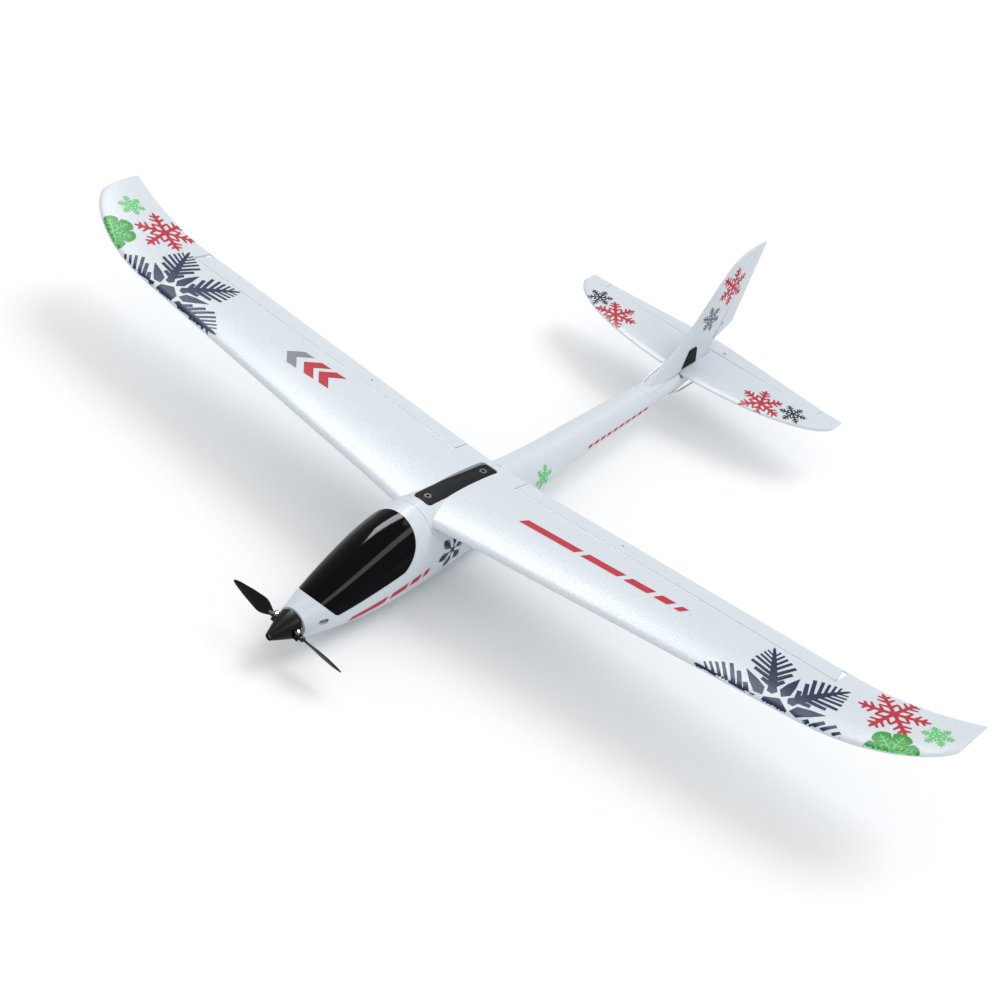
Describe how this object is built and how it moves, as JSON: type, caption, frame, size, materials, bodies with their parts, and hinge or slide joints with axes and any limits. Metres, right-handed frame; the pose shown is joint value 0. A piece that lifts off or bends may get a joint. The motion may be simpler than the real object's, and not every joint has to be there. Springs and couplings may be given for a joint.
{
  "type": "rc sailplane",
  "caption": "Foam radio-controlled motor glider with folding propeller, lift-off canopy, bolt-on wing with ailerons, and a tail with elevator and rudder worked by push rods.",
  "frame": {"origin": "Bottom centre of the bounding box: on the centre line, level with the flat on the belly, halfway between spinner tip and rudder tip.", "axes": "Nose along -Y, left (port) wing along +X, up +Z."},
  "size_m": [0.78, 0.532, 0.124],
  "materials": {
    "foam_white": "fine bead texture",
    "canopy_black": "gloss",
    "black_plastic": "satin",
    "screw_black": "satin",
    "steel": "satin",
    "motor_metal": "satin",
    "magnet": "polished",
    "plywood": "raw",
    "carbon": "satin",
    "nylon": "satin",
    "servo_case": "satin",
    "battery_wrap": "satin",
    "strap": "woven",
    "circuit_board": "satin",
    "heat_shrink": "satin"
  },
  "bodies": {
    "airframe": {"fuselage_left": "foam_white", "fuselage_right": "foam_white", "wing_left": "foam_white", "wing_right": "foam_white", "stabilizer": "foam_white", "fin": "foam_white", "fuselage_magnet": "magnet", "equipment_tray": "plywood", "rudder_servo_tray": "plywood", "elevator_servo_tray": "plywood", "wing_screw_blocks": "plywood", "battery": "battery_wrap", "battery_strap": "strap", "receiver_board": "circuit_board", "speed_controller": "heat_shrink", "rudder_servo": "servo_case", "elevator_servo": "servo_case", "aileron_servo_left": "servo_case", "aileron_servo_right": "servo_case", "elevator_guide_tube": "nylon", "rudder_guide_tube": "nylon", "motor_mount": "black_plastic", "spar_left": "carbon", "spar_right": "carbon", "wing_plate": "black_plastic", "wing_screws": "screw_black", "tail_clips": "black_plastic", "tail_screw": "screw_black"},
    "canopy": {"canopy_shell": "canopy_black", "canopy_liner": "foam_white", "canopy_magnet": "magnet"},
    "propeller": {"motor_can": "motor_metal", "motor_shaft": "steel", "spinner": "black_plastic", "spinner_screw": "steel", "prop_yoke": "black_plastic", "fold_pins": "steel"},
    "blade_port": {"blade_port": "black_plastic"},
    "blade_starboard": {"blade_starboard": "black_plastic"},
    "aileron_left": {"aileron_left": "foam_white", "aileron_horn_left": "black_plastic"},
    "aileron_right": {"aileron_right": "foam_white", "aileron_horn_right": "black_plastic"},
    "aileron_arm_left": {"aileron_servo_arm_left": "nylon"},
    "aileron_arm_right": {"aileron_servo_arm_right": "nylon"},
    "aileron_rod_left": {"aileron_pushrod_left": "steel"},
    "aileron_rod_right": {"aileron_pushrod_right": "steel"},
    "elevator": {"elevator": "foam_white", "elevator_horn": "black_plastic"},
    "elevator_arm": {"elevator_servo_arm": "nylon"},
    "elevator_rod": {"elevator_pushrod": "steel"},
    "rudder": {"rudder": "foam_white", "rudder_horn": "black_plastic"},
    "rudder_arm": {"rudder_servo_arm": "nylon"},
    "rudder_rod": {"rudder_pushrod": "steel"}
  },
  "joints": [
    {"name": "canopy_lift", "type": "slide", "parent": "airframe", "child": "canopy", "axis": [0, 0, 1], "range_m": [0, 0.06]},
    {"name": "propeller_spin", "type": "hinge", "parent": "airframe", "child": "propeller", "pos_m": [0, -0.24, 0.0235], "axis": [0, 1, 0], "continuous": true},
    {"name": "blade_fold_port", "type": "hinge", "parent": "propeller", "child": "blade_port", "pos_m": [0.00995, -0.2489, 0.02245], "axis": [0.1045, 0, 0.9945], "range_deg": [0, 50]},
    {"name": "blade_fold_starboard", "type": "hinge", "parent": "propeller", "child": "blade_starboard", "pos_m": [-0.00995, -0.2489, 0.02455], "axis": [-0.1045, 0, -0.9945], "range_deg": [0, 50]},
    {"name": "aileron_left_hinge", "type": "hinge", "parent": "airframe", "child": "aileron_left", "pos_m": [0.028, -0.0562, 0.0577], "axis": [0.999, 0.0127, 0.0438], "range_deg": [-22, 22]},
    {"name": "aileron_left_servo", "type": "hinge", "parent": "airframe", "child": "aileron_arm_left", "pos_m": [0.11734, -0.08507, 0.06252], "axis": [0.999, 0.0127, 0.0438], "range_deg": [-23, 23]},
    {"name": "aileron_left_link", "type": "hinge", "parent": "aileron_arm_left", "child": "aileron_rod_left", "pos_m": [0.11774, -0.08507, 0.05353], "axis": [0.999, 0.0127, 0.0438], "range_deg": [-23, 23]},
    {"name": "aileron_right_hinge", "type": "hinge", "parent": "airframe", "child": "aileron_right", "pos_m": [-0.028, -0.0562, 0.0577], "axis": [0.999, -0.0127, -0.0438], "range_deg": [-22, 22]},
    {"name": "aileron_right_servo", "type": "hinge", "parent": "airframe", "child": "aileron_arm_right", "pos_m": [-0.11734, -0.08507, 0.06252], "axis": [0.999, -0.0127, -0.0438], "range_deg": [-23, 23]},
    {"name": "aileron_right_link", "type": "hinge", "parent": "aileron_arm_right", "child": "aileron_rod_right", "pos_m": [-0.11774, -0.08507, 0.05353], "axis": [0.999, -0.0127, -0.0438], "range_deg": [-23, 23]},
    {"name": "elevator_hinge", "type": "hinge", "parent": "airframe", "child": "elevator", "pos_m": [0, 0.2215, 0.039], "axis": [1, 0, 0], "range_deg": [-22, 22]},
    {"name": "elevator_servo", "type": "hinge", "parent": "airframe", "child": "elevator_arm", "pos_m": [-0.0033, -0.08, 0.0285], "axis": [0, 0, 1], "range_deg": [-23, 23]},
    {"name": "elevator_rod_slide", "type": "slide", "parent": "airframe", "child": "elevator_rod", "axis": [0, 1, 0], "range_m": [-0.0043, 0.0043]},
    {"name": "rudder_hinge", "type": "hinge", "parent": "airframe", "child": "rudder", "pos_m": [0, 0.2176, 0.051], "axis": [0, 0.4537, 0.8912], "range_deg": [-25, 25]},
    {"name": "rudder_servo", "type": "hinge", "parent": "airframe", "child": "rudder_arm", "pos_m": [0.0025, -0.104, 0.038], "axis": [0, 0, 1], "range_deg": [-28, 28]},
    {"name": "rudder_rod_slide", "type": "slide", "parent": "airframe", "child": "rudder_rod", "axis": [0, 1, 0], "range_m": [-0.0044, 0.0044]}
  ],
  "couplings": [
    {"joint": "aileron_left_servo", "follows": "aileron_left_hinge", "ratio": 1},
    {"joint": "aileron_left_link", "follows": "aileron_left_hinge", "ratio": -1},
    {"joint": "aileron_right_servo", "follows": "aileron_right_hinge", "ratio": 1},
    {"joint": "aileron_right_link", "follows": "aileron_right_hinge", "ratio": -1},
    {"joint": "elevator_servo", "follows": "elevator_hinge", "ratio": 1},
    {"joint": "elevator_rod_slide", "follows": "elevator_hinge", "m_per_rad": 0.0108},
    {"joint": "rudder_servo", "follows": "rudder_hinge", "ratio": 1.1},
    {"joint": "rudder_rod_slide", "follows": "rudder_hinge", "m_per_rad": -0.00985}
  ]
}
